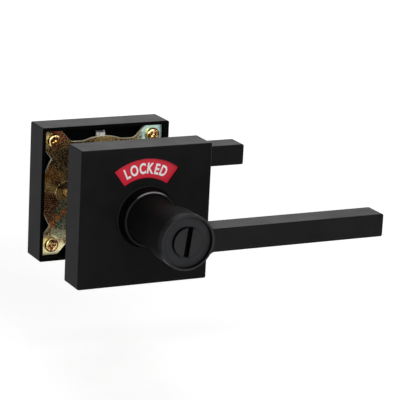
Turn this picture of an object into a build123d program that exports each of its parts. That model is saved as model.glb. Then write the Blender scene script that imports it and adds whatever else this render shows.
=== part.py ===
from build123d import *
import math
import os

# Privacy door lever: an outside half with a vacancy window and a coin turn,
# and an inside half with a thumb turn, bolted together through the door.
# Millimetres. Z is up and the arms point along +X. The spindle lies on the Y
# axis. The outside half bears on the door at y = 0 and stands towards -Y.
# "Height" below means the distance out from the door face, along the spindle.

# Driving dimensions: door and roses
DOOR_THICKNESS = 31.75
ROSE_SIDE = 66.7
ROSE_DEPTH = 16.0
ROSE_WALL = 1.75
ROSE_FACE = 1.4
ROSE_EDGE = 0.8

# Driving dimensions: lever
PROJECTION = 62.0
ARM_REACH = 102.0
ARM_HEIGHT = 11.0
ARM_DEPTH = 13.5
ARM_EDGE = 0.9
LEVER_RIM = 0.7
ARM_ROOT_FILLET = 3.0
HEAD_RADIUS = 13.1
HEAD_WALL = 1.2
NECK_STEP = 1.2
NECK_WAIST = 0.4
NECK_FLARE = 13.0
HUB_STEP = 1.3
HUB_FLAT_DEPTH = 1.0
HUB_TAIL = 1.2
DISH_DEPTH = 2.0

# Driving dimensions: collar round the neck
COLLAR_BASE_WALL = 2.9
COLLAR_TOP_WALL = 1.25
COLLAR_HEIGHT = 6.3
COLLAR_LAND = 0.9
COLLAR_WALL = 1.2
COLLAR_TAIL = 0.15
COLLAR_CHAMFER = 0.3
COLLAR_ROUND = 0.4

# Driving dimensions: mounting plate and its screws
PLATE_THICKNESS = 1.6
PLATE_GAP = 0.4
PLATE_EAR = 8.6
PLATE_EAR_SLANT = 5.8
PLATE_SIDE_CROWN = 0.4
PLATE_VALLEY_DEPTH = 6.3
PLATE_HUMP = 1.8
PLATE_HUMP_HALF = 10.0
PLATE_CORNER = 0.8
PLATE_VALLEY_ROUND = 4.0
PLATE_EMBOSS = 0.7
PLATE_EMBOSS_RADIUS = 5.6
PLATE_EMBOSS_ROUND = 0.4
SCREW_INSET = 5.6
SCREW_RADIUS = 1.5
SCREW_HEAD_RADIUS = 3.6
SCREW_HEAD_HEIGHT = 2.1
SCREW_DOME = 0.9
SCREW_LENGTH = 7.0
BOSS_RADIUS = 4.4
CROSS_WIDTH = 1.1
CROSS_REACH = 2.1
CROSS_DEPTH = 1.2

# Driving dimensions: through bolts, their tubes and the posts that they screw into
BOLT_SPACING = 38.1
BOLT_RADIUS = 2.0
BOLT_HEAD_RADIUS = 3.5
BOLT_HEAD_HEIGHT = 2.2
BOLT_DOME = 1.1
BOLT_BITE = 9.0
TUBE_WALL = 1.3
POST_RADIUS = 4.0
POST_REACH = 13.0
POST_CHAMFER = 0.5
POST_FLOOR = 1.0
POST_NECK_RADIUS = 2.9
RIVET_RADIUS = 3.9
RIVET_HEIGHT = 0.8

# Driving dimensions: return spring, its driver, its stop and the hub's ring
WIRE = 1.2
COIL_PITCH = 1.62
COIL_TURNS = 2
COIL_CLEARANCE = 1.2
ARCS_PER_TURN = 4
LEG_BEND = 2.2
LEG_PROUD = 0.2
DRIVER_THICKNESS = 1.2
DRIVER_CLEARANCE = 0.85
LUG_WIDTH = 3.0
LUG_THICKNESS = 1.5
LUG_CLEARANCE = 2.4
STOP_INSET = 3.0
STOP_DEPTH = 5.4
STOP_LENGTH = 5.0
STOP_ROUND = 0.4
RING_THICKNESS = 1.1
RING_WIDTH = 3.05
RING_MOUTH = 70.0
GROOVE_DEPTH = 0.9

# Driving dimensions: spindle, lock shaft and turns
SPINDLE_SIDE = 8.0
SPINDLE_BREAK = 0.5
SPINDLE_GRIP = 8.6
SHAFT_RADIUS = 1.9
TANG_WIDTH = 3.2
TANG_THICKNESS = 1.3
TANG_LENGTH = 2.0
TURN_RADIUS = 7.0
TURN_PROUD = 1.85
TURN_CHAMFER = 0.25
TURN_FLANGE = 1.2
TURN_FLANGE_THICKNESS = 1.8
COIN_SLOT_WIDTH = 2.6
COIN_SLOT_DEPTH = 2.2
COIN_SLOT_LEAN = 7.5
WING_WIDTH = 3.4
WING_LENGTH = 13.0
WING_HEIGHT = 8.5
WING_ROOT = 0.5
WING_EDGE = 0.8
CAP_THICKNESS = 2.0

# Driving dimensions: vacancy window, dial and the pin that turns it
WINDOW_DEPTH = 9.5
WINDOW_HALF_ANGLE = 36.5
WINDOW_LAP = 1.5
DIAL_CLEARANCE = 2.2
DIAL_THICKNESS = 0.8
DIAL_RIM = 2.4
DIAL_OVERLAP = 5.5
DIAL_PIN_RADIUS = 0.8
PIN_WEB = 0.3
LOCK_TRAVEL = 90.0
EAR_WIDTH = 1.3
EAR_DEPTH = 1.3
EAR_SETBACK = 0.1

# Clearances
RUN_GAP = 0.2
SHAFT_GAP = 0.4
SPINDLE_GAP = 0.1
SEAT_GAP = 0.05
HOLE_GAP = 0.3
DIAL_GAP = 0.15
SPRING_GAP = 0.15
LEG_GAP = 0.2

# Heights of the stack, counted out from the door face: it hangs under the rose's
# face, from the dial down to the plate
face_inside = ROSE_DEPTH - ROSE_FACE
dial_top = face_inside - DIAL_GAP
dial_base = dial_top - DIAL_THICKNESS
sleeve_end = dial_base - COLLAR_TAIL
pin_margin = DIAL_PIN_RADIUS + RUN_GAP
pin_height = sleeve_end - pin_margin
shoulder = pin_height - pin_margin - PIN_WEB
driver_base = shoulder - DRIVER_THICKNESS
coil_end = driver_base - SPRING_GAP - WIRE / 2
coil_start = coil_end - COIL_PITCH * COIL_TURNS
coil_sweep = 360.0 * COIL_TURNS
plate_top = coil_start - WIRE / 2 - SPRING_GAP
plate_back = plate_top - PLATE_THICKNESS
screw_tip = plate_back + SCREW_LENGTH
ring_base = plate_back - RING_THICKNESS - SEAT_GAP
hub_end = ring_base - SEAT_GAP - HUB_TAIL
socket_end = hub_end + SPINDLE_GRIP

# Heights of the collar and the head
collar_top = ROSE_DEPTH + COLLAR_HEIGHT
cap_top = PROJECTION - DISH_DEPTH
cap_base = cap_top - CAP_THICKNESS
pocket_base = cap_base - TURN_FLANGE_THICKNESS - 2 * RUN_GAP
turn_base = pocket_base + RUN_GAP
turn_top = cap_top + TURN_PROUD
arm_base = PROJECTION - ARM_DEPTH

# Radii of the lever, and of what turns or fits round it
neck_radius = HEAD_RADIUS - NECK_STEP
dish_radius = HEAD_RADIUS - HEAD_WALL
hub_radius = neck_radius - HUB_STEP
hub_flat = hub_radius - HUB_FLAT_DEPTH
collar_bore = neck_radius + RUN_GAP
sleeve_radius = collar_bore + COLLAR_WALL
rose_hole = sleeve_radius + SEAT_GAP
dial_bore = sleeve_radius + RUN_GAP
shaft_bore = SHAFT_RADIUS + SHAFT_GAP
plate_hole = hub_radius + RUN_GAP
socket_side = SPINDLE_SIDE + 2 * SPINDLE_GAP
coil_radius = hub_radius + COIL_CLEARANCE + WIRE / 2
ring_bore = hub_radius - GROOVE_DEPTH + SEAT_GAP
ring_radius = ring_bore + RING_WIDTH

# Sizes that follow from the rose's hollow and from the bolts
hollow_half = ROSE_SIDE / 2 - ROSE_WALL
plate_half = hollow_half - PLATE_GAP
screw_spacing = 2 * (hollow_half - SCREW_INSET)
stop_top = plate_half - STOP_INSET
stop_foot = stop_top - STOP_DEPTH
leg_top = stop_top + LEG_PROUD
driver_reach = stop_foot - LUG_CLEARANCE
dial_outer = hollow_half - DIAL_CLEARANCE
window_outer = dial_outer - WINDOW_LAP
window_inner = window_outer - WINDOW_DEPTH
bolt_hole = BOLT_RADIUS + HOLE_GAP
tube_radius = bolt_hole + TUBE_WALL
driver_radius = BOLT_SPACING / 2 - tube_radius - DRIVER_CLEARANCE
leg_offset = LUG_WIDTH / 2 + LEG_GAP + WIRE / 2
mirror_plane = Plane(origin=(0, DOOR_THICKNESS / 2, 0), x_dir=(1, 0, 0), z_dir=(0, 1, 0))


def face_plane(height):
    """The plane parallel to the door at a height: its x is X and its y is Z."""
    return Plane(origin=(0, -height, 0), x_dir=(1, 0, 0), z_dir=(0, -1, 0))


def layer(sketch, low, high):
    """A sketch in X and Z, extruded from one height to another."""
    return extrude(face_plane(low) * sketch, amount=high - low)


def rod(radius, low, high, x=0.0, z=0.0):
    """A round bar square to the door, between two heights."""
    return layer(Pos(x, z) * Circle(radius), low, high)


def outer_rim(shape):
    """The edges of the face that lies furthest out from the door."""
    return shape.faces().sort_by(Axis.Y)[0].edges()


def door_rim(shape):
    """The edges of the face that lies nearest to the door."""
    return shape.faces().sort_by(Axis.Y)[-1].edges()


def turned(points):
    """A body of revolution about the spindle from (radius, height) points."""
    outline = [(radius, -height) for radius, height in points]
    profile = make_face(Polyline(*outline, close=True))
    return revolve(profile, axis=Axis.Y)


def sector(inner, outer, start, end):
    """Part of a ring. Angles run clockwise from straight up, seen from outside."""
    mid = (start + end) / 2

    def at(radius, degrees):
        turn = math.radians(degrees)
        return (radius * math.sin(turn), radius * math.cos(turn))

    outline = Curve() + [
        ThreePointArc(at(outer, start), at(outer, mid), at(outer, end)),
        Line(at(outer, end), at(inner, end)),
        ThreePointArc(at(inner, end), at(inner, mid), at(inner, start)),
        Line(at(inner, start), at(outer, start)),
    ]
    return make_face(outline)


def screw_places():
    """The four screws of a plate, one in each of its ears."""
    half = screw_spacing / 2
    return [(x, z) for x in (-half, half) for z in (-half, half)]


def bolt_places():
    return [-BOLT_SPACING / 2, BOLT_SPACING / 2]


def one_part(shape):
    """The shape as a plain solid or a compound of its solids."""
    solids = shape.solids()
    if len(solids) == 1:
        return solids[0]
    return Compound(children=solids)


def other_side(shape):
    """The same piece on the inside of the door."""
    return one_part(shape.mirror(mirror_plane))


# Rose: a die-cast square cover, open towards the door, with a boss for each screw
def rose():
    block = Pos(0, -ROSE_DEPTH / 2, 0) * Box(ROSE_SIDE, ROSE_DEPTH, ROSE_SIDE)
    outer_edges = [edge for edge in block.edges() if edge.center().Y < -ROSE_DEPTH / 4]
    block = fillet(outer_edges, ROSE_EDGE)
    hollow = RectangleRounded(2 * hollow_half, 2 * hollow_half, ROSE_EDGE)
    shell = block - layer(hollow, 0, face_inside)
    web_side = SCREW_INSET + ROSE_WALL / 2
    for x, z in screw_places():
        web_x = x + math.copysign(web_side / 2, x)
        web_z = z + math.copysign(web_side / 2, z)
        boss = Pos(x, z) * Circle(BOSS_RADIUS) + Pos(web_x, web_z) * Rectangle(web_side, web_side)
        shell = shell + layer(boss, plate_top, face_inside + ROSE_FACE / 2)
        shell = shell - rod(SCREW_RADIUS + SEAT_GAP, plate_top, screw_tip + HOLE_GAP, x, z)
    return shell - rod(rose_hole, 0, ROSE_DEPTH)


# Mounting screw: a pan head on the door side of the plate, threaded into the rose
def cross_slot(low, high, x, z):
    bar = Rectangle(2 * CROSS_REACH, CROSS_WIDTH)
    return layer(Pos(x, z) * (bar + Rot(0, 0, 90) * bar), low, high)


def plate_screw(x, z):
    head_top = plate_back - SCREW_HEAD_HEIGHT
    head = rod(SCREW_HEAD_RADIUS, head_top, plate_back, x, z)
    head = fillet(door_rim(head), SCREW_DOME)
    screw = head + rod(SCREW_RADIUS, plate_back, screw_tip, x, z)
    return screw - cross_slot(head_top, head_top + CROSS_DEPTH, x, z)


def plate_screws():
    return Compound(children=[one_part(plate_screw(x, z)) for x, z in screw_places()])


# Mounting plate: stamped steel, a lobed disc with a square ear at each corner
def plate_outline():
    """The outline, drawn for the upper right quarter and mirrored twice."""
    half = plate_half
    ear = half - PLATE_EAR
    slant = ear - PLATE_EAR_SLANT
    valley = half - PLATE_VALLEY_DEPTH
    side_radius = half + PLATE_SIDE_CROWN
    flat_turn = math.acos(half / side_radius)
    lobe_turn = math.asin(slant / side_radius)
    mid_turn = (flat_turn + lobe_turn) / 2
    flat_end, lobe_mid, lobe_end = [
        (side_radius * math.cos(turn), side_radius * math.sin(turn))
        for turn in (flat_turn, mid_turn, lobe_turn)
    ]
    hump_top = (0, valley + PLATE_HUMP)
    quarter = make_face(
        Curve()
        + [
            Line((half, 0), flat_end),
            ThreePointArc(flat_end, lobe_mid, lobe_end),
            Line(lobe_end, (half, ear)),
            Line((half, ear), (half, half)),
            Line((half, half), (ear, half)),
            Line((ear, half), (slant, valley)),
            Line((slant, valley), (PLATE_HUMP_HALF, valley)),
            TangentArc(hump_top, (PLATE_HUMP_HALF, valley), tangent=(1, 0)),
            Line(hump_top, (0, 0)),
            Line((0, 0), (half, 0)),
        ]
    )
    top = quarter + quarter.mirror(Plane.YZ)
    return top + top.mirror(Plane.XZ)


def mounting_plate(bolt_bore):
    sheet = layer(plate_outline() - Circle(plate_hole), plate_back, plate_top)
    valley = plate_half - PLATE_VALLEY_DEPTH
    ear = plate_half - PLATE_EAR
    upright = [(edge, edge.center()) for edge in sheet.edges().filter_by(Axis.Y)]
    soft = [edge for edge, place in upright if abs(abs(place.Z) - valley) < PLATE_CORNER]
    sheet = fillet(soft, PLATE_VALLEY_ROUND)
    upright = [(edge, edge.center()) for edge in sheet.edges().filter_by(Axis.Y)]
    outer = [(edge, place) for edge, place in upright if abs(place.X) > ear - PLATE_CORNER]
    sharp = [edge for edge, place in outer if abs(place.Z) > ear / 2]
    sheet = fillet(sharp, PLATE_CORNER)
    for x in bolt_places():
        emboss = Pos(x, 0) * Circle(PLATE_EMBOSS_RADIUS) - Circle(ring_radius + RUN_GAP)
        pad = layer(emboss, plate_back - PLATE_EMBOSS, plate_back)
        sheet = sheet + fillet(door_rim(pad), PLATE_EMBOSS_ROUND)
        sheet = sheet - rod(bolt_bore, plate_back - PLATE_EMBOSS, plate_top, x)
    for x, z in screw_places():
        sheet = sheet - rod(SCREW_RADIUS + HOLE_GAP, plate_back, plate_top, x, z)
    return sheet


# Collar: a black bush pressed into the rose, in which the neck turns
def collar():
    base_radius = collar_bore + COLLAR_BASE_WALL
    body = turned(
        [
            (collar_bore, sleeve_end),
            (sleeve_radius, sleeve_end),
            (sleeve_radius, ROSE_DEPTH),
            (base_radius, ROSE_DEPTH),
            (base_radius, ROSE_DEPTH + COLLAR_LAND),
            (collar_bore + COLLAR_TOP_WALL, collar_top),
            (collar_bore, collar_top),
        ]
    )
    body = chamfer(outer_rim(body), COLLAR_CHAMFER)
    land_top = ROSE_DEPTH + COLLAR_LAND
    land_edge = [e for e in body.edges() if abs(e.center().Y + land_top) < COLLAR_LAND / 4]
    return fillet(land_edge, COLLAR_ROUND)


# Lever: one casting of hub, neck, head and square arm
def head_and_arm():
    outline = Circle(HEAD_RADIUS) + Pos(ARM_REACH / 2, 0) * Rectangle(ARM_REACH, ARM_HEIGHT)
    roots = [v for v in outline.vertices() if v.X < HEAD_RADIUS and abs(v.Y) < HEAD_RADIUS]
    head = layer(fillet(roots, ARM_ROOT_FILLET), arm_base, PROJECTION)
    tip = [e for e in head.edges().filter_by(Axis.Y) if e.center().X > ARM_REACH - ARM_EDGE]
    head = fillet(tip, ARM_EDGE)
    return fillet(outer_rim(head) + door_rim(head), LEVER_RIM)


def neck():
    """The neck draws in to a waist and flares in one soft curve into the head."""
    waist = (neck_radius - NECK_WAIST, NECK_FLARE - arm_base)
    rim = (HEAD_RADIUS, -arm_base - LEVER_RIM)
    middle = ((waist[0] + rim[0]) / 2, (waist[1] + rim[1]) / 2)
    neck_top = -arm_base - ARM_DEPTH / 4
    profile = Curve() + [
        Line((0, -shoulder), (neck_radius, -shoulder)),
        Line((neck_radius, -shoulder), (neck_radius, -collar_top)),
        TangentArc(waist, (neck_radius, -collar_top), tangent=(0, 1)),
        TangentArc(waist, middle, tangent=(0, -1)),
        TangentArc(rim, middle, tangent=(0, 1)),
        Line(rim, (HEAD_RADIUS, neck_top)),
        Line((HEAD_RADIUS, neck_top), (0, neck_top)),
        Line((0, neck_top), (0, -shoulder)),
    ]
    return revolve(make_face(profile), axis=Axis.Y)


def hub():
    section = Circle(hub_radius) & Rectangle(2 * hub_flat, 2 * hub_radius)
    groove = Circle(hub_radius) - Circle(hub_radius - GROOVE_DEPTH)
    return layer(section, hub_end, shoulder) - layer(groove, ring_base - SEAT_GAP, plate_back)


def lever_casting():
    lever = head_and_arm() + neck() + hub()
    lever = lever - layer(Rectangle(socket_side, socket_side), hub_end, socket_end)
    lever = lever - rod(shaft_bore, hub_end, pocket_base)
    lever = lever - rod(dish_radius + SEAT_GAP, cap_base, PROJECTION)
    return lever - rod(TURN_RADIUS + TURN_FLANGE + RUN_GAP, pocket_base, cap_base)


def outside_lever():
    """The outside casting is cut away on one side of the neck, where the dial pin swings."""
    reach = 2 * neck_radius
    half_disc = Pos(0, pin_margin - reach / 2) * Rectangle(2 * reach, reach)
    swing = Rot(0, 0, -LOCK_TRAVEL / 2) * half_disc
    return lever_casting() - layer(swing, pin_height - pin_margin, pin_height + pin_margin)


# Cap disc: closes the head round the turn
def cap_disc():
    ring = Circle(dish_radius) - Circle(TURN_RADIUS + RUN_GAP)
    return layer(ring, cap_base, cap_top)


# Driver: a stamped washer keyed on the hub, its lug bent down between the spring legs
def driver():
    across = 2 * hub_flat + 2 * SEAT_GAP
    bore = Circle(hub_radius + SEAT_GAP) & Rectangle(across, 2 * driver_radius)
    tongue = Pos(0, driver_reach / 2) * Rectangle(LUG_WIDTH, driver_reach)
    washer = layer(Circle(driver_radius) + tongue - bore, driver_base, shoulder - SEAT_GAP)
    lug = Pos(0, driver_reach - LUG_THICKNESS / 2) * Rectangle(LUG_WIDTH, LUG_THICKNESS)
    return washer + layer(lug, plate_top + HOLE_GAP, shoulder - SEAT_GAP)


# Stop: a steel block riveted to the plate, which holds the leg that isn't pushed
def spring_stop():
    block = Pos(0, stop_foot + STOP_DEPTH / 2) * Rectangle(LUG_WIDTH, STOP_DEPTH)
    stop = layer(block, plate_top, plate_top + STOP_LENGTH)
    return fillet(outer_rim(stop), STOP_ROUND)


# Retaining ring: an open clip in the groove of the hub, behind the plate
def retaining_ring():
    half_ring = 180.0 - RING_MOUTH / 2
    ring = sector(ring_bore, ring_radius, -half_ring, half_ring)
    return layer(ring, ring_base, ring_base + RING_THICKNESS)


# Return spring: one wire, a coil round the hub with two legs standing up
leg_lean = math.degrees(math.asin((leg_offset + LEG_BEND) / (coil_radius + LEG_BEND)))
leg_start = 90.0 + leg_lean
leg_end = 90.0 - leg_lean + coil_sweep
leg_knee = (coil_radius + LEG_BEND) * math.cos(math.radians(leg_lean))


def coil_point(turn):
    """A point of the coil and the way the wire runs there, from an angle in degrees."""
    angle = math.radians(turn)
    height = coil_start + COIL_PITCH * (turn - leg_start) / 360.0
    place = Vector(coil_radius * math.cos(angle), -height, coil_radius * math.sin(angle))
    slope = COIL_PITCH / (2 * math.pi)
    run = Vector(-coil_radius * math.sin(angle), -slope, coil_radius * math.cos(angle))
    return place, run.normalized()


def coil_points(count):
    """Points at even steps along the coil, with the way the wire runs at each."""
    step = (leg_end - leg_start) / count
    return [coil_point(leg_start + step * number) for number in range(count + 1)]


def biarc(start, start_run, end, end_run):
    """Two arcs that leave one point and reach another in the given directions."""
    chord = end - start
    both = start_run + end_run
    spread = 2 * (1 - start_run.dot(end_run))
    lean = chord.dot(both)
    reach = (-lean + math.sqrt(lean**2 + spread * chord.dot(chord))) / spread
    first = start + start_run * reach
    last = end - end_run * reach
    joint = (first + last) * 0.5
    return [
        TangentArc(start, joint, tangent=start_run),
        TangentArc(joint, end, tangent=last - first),
    ]


def spring_path():
    """The wire's middle line from the top of one leg to the top of the other."""
    knots = coil_points(ARCS_PER_TURN * COIL_TURNS)
    start, start_run = knots[0]
    end, end_run = knots[-1]
    flat_start = Vector(start_run.X, 0, start_run.Z).normalized()
    flat_end = Vector(end_run.X, 0, end_run.Z).normalized()
    knots[0] = (start, flat_start)
    knots[-1] = (end, flat_end)
    first_top = Vector(-leg_offset, start.Y, leg_top)
    first_knee = Vector(-leg_offset, start.Y, leg_knee)
    last_knee = Vector(leg_offset, end.Y, leg_knee)
    last_top = Vector(leg_offset, end.Y, leg_top)
    edges = [Line(first_top, first_knee)]
    edges += [TangentArc(first_knee, start, tangent=Vector(0, 0, -1))]
    for (place, run), (next_place, next_run) in zip(knots, knots[1:]):
        edges += biarc(place, run, next_place, next_run)
    edges += [TangentArc(end, last_knee, tangent=flat_end)]
    edges += [Line(last_knee, last_top)]
    return Wire(edges), first_top


def return_spring():
    path, top = spring_path()
    section = Plane(origin=top, x_dir=(1, 0, 0), z_dir=(0, 0, -1)) * Circle(WIRE / 2)
    return sweep(section, path=path)


def least_coil_gap():
    """The smallest gap between turns, measured on points over half a turn apart."""
    half_turn = 36
    places = [place for place, run in coil_points(2 * half_turn * COIL_TURNS)]
    return min((a - b).length for i, a in enumerate(places) for b in places[i + half_turn :]) - WIRE


# Post: a round nut riveted to the outside plate, through the edge of the door bore
def mounting_post(x):
    foot = plate_back - PLATE_EMBOSS
    post = rod(POST_RADIUS, -POST_REACH, foot, x)
    post = chamfer(door_rim(post), POST_CHAMFER)
    post = post + rod(POST_NECK_RADIUS, foot, plate_top, x)
    post = post + rod(RIVET_RADIUS, plate_top, plate_top + RIVET_HEIGHT, x)
    return post - rod(BOLT_RADIUS + SEAT_GAP, -POST_REACH, foot - POST_FLOOR, x)


def mounting_posts():
    return Compound(children=[one_part(mounting_post(x)) for x in bolt_places()])


# The outside rose has the window, and the inside one two tubes for the bolts
def outside_rose():
    window = sector(window_inner, window_outer, -WINDOW_HALF_ANGLE, WINDOW_HALF_ANGLE)
    return rose() - layer(window, face_inside, ROSE_DEPTH)


def inside_rose():
    shell = rose()
    for x in bolt_places():
        shell = shell + rod(tube_radius, plate_top, face_inside + ROSE_FACE / 2, x)
        shell = shell - rod(bolt_hole, plate_top, ROSE_DEPTH, x)
    return shell


# Through bolts: heads on the inside rose and tips in the posts. They are drawn on
# the outside half's heights, before they are put on the other side
def through_bolt(x):
    tip = -(DOOR_THICKNESS - POST_REACH + BOLT_BITE)
    crown = ROSE_DEPTH + BOLT_HEAD_HEIGHT
    head = rod(BOLT_HEAD_RADIUS, ROSE_DEPTH, crown, x)
    head = fillet(outer_rim(head), BOLT_DOME)
    bolt = head + rod(BOLT_RADIUS, tip, ROSE_DEPTH, x)
    return bolt - cross_slot(crown - CROSS_DEPTH, crown, x, 0)


def through_bolts():
    return Compound(children=[one_part(through_bolt(x)) for x in bolt_places()])


# Spindle: a hollow square bar that joins the two hubs
def spindle():
    length = DOOR_THICKNESS + 2 * (socket_end - RUN_GAP)
    bar = Box(SPINDLE_SIDE, length, SPINDLE_SIDE)
    bar = chamfer(bar.edges().filter_by(Axis.Y), SPINDLE_BREAK)
    bore = Rot(90, 0, 0) * Cylinder(shaft_bore, length)
    return Pos(0, DOOR_THICKNESS / 2, 0) * (bar - bore)


# Lock shaft: a rod through the spindle, with a flat tang in each turn
def lock_shaft():
    length = DOOR_THICKNESS + 2 * pocket_base
    round_bar = Rot(90, 0, 0) * Cylinder(SHAFT_RADIUS, length)
    tang = Box(TANG_THICKNESS, length + 2 * TANG_LENGTH, TANG_WIDTH)
    shaft = Pos(0, DOOR_THICKNESS / 2, 0) * (round_bar + tang)
    cross_hole = Pos(0, -pin_height, 0) * Cylinder(DIAL_PIN_RADIUS + SEAT_GAP, 4 * SHAFT_RADIUS)
    return shaft - cross_hole


# Dial pin: pressed across the shaft, with its long end between the dial's ears
def dial_pin():
    reach = dial_bore + EAR_DEPTH
    pin = Cylinder(DIAL_PIN_RADIUS, reach + SHAFT_RADIUS)
    return Pos(0, -pin_height, (SHAFT_RADIUS - reach) / 2) * pin


# Dial: a thin painted disc that turns on the sleeve of the collar, driven by the pin
def indicator_dial():
    half_field = WINDOW_HALF_ANGLE + DIAL_OVERLAP
    ring = Circle(dial_bore + DIAL_RIM) - Circle(dial_bore)
    fan = sector(dial_bore + DIAL_RIM / 2, dial_outer, -half_field - LOCK_TRAVEL, half_field)
    dial = layer(ring + fan, dial_base, dial_top)
    ear_x = DIAL_PIN_RADIUS + RUN_GAP + EAR_WIDTH / 2
    ear_z = -(dial_bore + EAR_SETBACK + EAR_DEPTH / 2)
    ear_low = pin_height - DIAL_PIN_RADIUS
    for side in (-ear_x, ear_x):
        ear = Pos(side, ear_z) * Rectangle(EAR_WIDTH, EAR_DEPTH)
        dial = dial + layer(ear, ear_low, dial_base + DIAL_THICKNESS / 2)
    return dial


# Turns: both have a flange behind the cap disc and a slot for the shaft's tang
def turn_blank():
    barrel = rod(TURN_RADIUS, turn_base, turn_top)
    barrel = chamfer(outer_rim(barrel), TURN_CHAMFER)
    flange_top = turn_base + TURN_FLANGE_THICKNESS
    blank = barrel + rod(TURN_RADIUS + TURN_FLANGE, turn_base, flange_top)
    slot = Rectangle(TANG_THICKNESS + 2 * SEAT_GAP, TANG_WIDTH + 2 * SEAT_GAP)
    return blank - layer(slot, turn_base, pocket_base + TANG_LENGTH + SEAT_GAP)


def coin_turn():
    slot = Rot(0, 0, -COIN_SLOT_LEAN) * Rectangle(COIN_SLOT_WIDTH, 3 * TURN_RADIUS)
    return turn_blank() - layer(slot, turn_top - COIN_SLOT_DEPTH, turn_top)


def thumb_turn():
    outline = SlotOverall(WING_LENGTH, WING_WIDTH, rotation=90)
    wing = layer(outline, turn_top - WING_ROOT, turn_top + WING_HEIGHT)
    return turn_blank() + fillet(outer_rim(wing), WING_EDGE)


def assembly():
    """Every piece by the name of its node."""
    return {
        "outside_rose": outside_rose(),
        "outside_collar": collar(),
        "outside_mounting_plate": mounting_plate(POST_NECK_RADIUS + SEAT_GAP),
        "outside_plate_screws": plate_screws(),
        "mounting_posts": mounting_posts(),
        "outside_spring_stop": spring_stop(),
        "outside_return_spring": return_spring(),
        "indicator_dial": indicator_dial(),
        "outside_lever": outside_lever(),
        "outside_cap_disc": cap_disc(),
        "outside_spring_driver": driver(),
        "outside_retaining_ring": retaining_ring(),
        "coin_turn": coin_turn(),
        "spindle": spindle(),
        "lock_shaft": lock_shaft(),
        "dial_drive_pin": dial_pin(),
        "inside_rose": other_side(inside_rose()),
        "inside_collar": other_side(collar()),
        "inside_mounting_plate": other_side(mounting_plate(bolt_hole)),
        "inside_plate_screws": other_side(plate_screws()),
        "through_bolts": other_side(through_bolts()),
        "inside_spring_stop": other_side(spring_stop()),
        "inside_return_spring": other_side(return_spring()),
        "inside_lever": other_side(lever_casting()),
        "inside_cap_disc": other_side(cap_disc()),
        "inside_spring_driver": other_side(driver()),
        "inside_retaining_ring": other_side(retaining_ring()),
        "thumb_turn": other_side(thumb_turn()),
    }


os.makedirs("parts", exist_ok=True)
for name, shape in assembly().items():
    export_step(one_part(shape), f"parts/{name}.step")
print(f"least gap between the turns of a spring: {least_coil_gap():.2f} mm")
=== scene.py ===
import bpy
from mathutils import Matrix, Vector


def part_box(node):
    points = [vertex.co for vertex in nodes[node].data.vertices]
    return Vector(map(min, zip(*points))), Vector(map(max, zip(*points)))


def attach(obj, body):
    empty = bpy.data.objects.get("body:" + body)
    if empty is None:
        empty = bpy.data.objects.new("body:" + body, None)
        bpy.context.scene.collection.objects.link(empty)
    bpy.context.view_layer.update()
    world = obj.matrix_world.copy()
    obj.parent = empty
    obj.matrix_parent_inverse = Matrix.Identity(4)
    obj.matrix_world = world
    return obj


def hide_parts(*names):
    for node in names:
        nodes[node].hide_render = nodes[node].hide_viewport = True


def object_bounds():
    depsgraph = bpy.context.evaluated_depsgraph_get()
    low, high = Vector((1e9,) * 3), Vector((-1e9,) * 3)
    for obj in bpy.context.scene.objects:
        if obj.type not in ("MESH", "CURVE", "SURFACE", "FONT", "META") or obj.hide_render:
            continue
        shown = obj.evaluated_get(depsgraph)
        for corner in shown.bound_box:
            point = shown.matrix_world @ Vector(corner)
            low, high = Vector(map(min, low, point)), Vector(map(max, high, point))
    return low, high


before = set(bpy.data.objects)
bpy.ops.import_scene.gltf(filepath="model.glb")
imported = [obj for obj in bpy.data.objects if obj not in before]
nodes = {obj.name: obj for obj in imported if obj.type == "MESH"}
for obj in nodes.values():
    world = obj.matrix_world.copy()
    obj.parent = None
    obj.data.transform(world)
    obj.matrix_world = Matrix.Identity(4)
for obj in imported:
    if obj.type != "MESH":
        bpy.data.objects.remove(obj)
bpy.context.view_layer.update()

import math

import bmesh
import bpy
from mathutils import Matrix, Vector


# Roses: two square zinc die castings, open towards the door, blasted and powder
# coated in satin black. The coat has an even fine grain, and small clouds where
# it lies a little thicker and glossier. Inside, and on the rim against the door,
# it is dull and painted deep black as shade.
COAT_TONES = ((0.0080, 0.0080, 0.0081, 1), (0.0105, 0.0105, 0.0106, 1))
COAT_IOR = 1.10
COAT_ROUGH = (0.33, 0.42)
COAT_GRAIN = (2600.0, 0.10, 0.00004)
COAT_CLOUDS = 70.0
# Painted shade: deep black inside the roses, on their rims at the door, and in the levers' dishes.
COAT_PAINTED_SHADE = (0.0010, 0.0010, 0.0010, 1)
COAT_DULL = 0.60
OWN_GLOSS = 0.0
INSIDE_HALF = 0.0318
INSIDE_TOP = 0.0146
RIM_TOP = 0.0003
FAR = 2.0
EDGE_FADE = 0.00002
UP_FADE = 0.08
NOISE_LOW = 0.3
NOISE_HIGH = 0.7


def put(tree, kind, settings=None, **values):
    """A new node with its settings, and plain values for its inputs by name."""
    made = tree.nodes.new(kind)
    for key, value in (settings or {}).items():
        setattr(made, key, value)
    for key, value in values.items():
        made.inputs[key.replace("_", " ")].default_value = value
    return made


def feed(tree, source, socket):
    """Links an output to an input, or sets a plain value on the input."""
    if isinstance(source, bpy.types.NodeSocket):
        tree.links.new(source, socket)
    else:
        socket.default_value = source


def effect(name, inputs, outputs):
    """An empty shader group with named inputs and outputs, and its two end nodes."""
    tree = bpy.data.node_groups.new(name, "ShaderNodeTree")
    kinds = {float: "NodeSocketFloat", tuple: "NodeSocketVector"}
    for label, value in inputs.items():
        socket = tree.interface.new_socket(label, in_out="INPUT", socket_type=kinds[type(value)])
        socket.default_value = value
    for label in outputs:
        tree.interface.new_socket(label, in_out="OUTPUT", socket_type="NodeSocketFloat")
    return tree, put(tree, "NodeGroupInput"), put(tree, "NodeGroupOutput")


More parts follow.
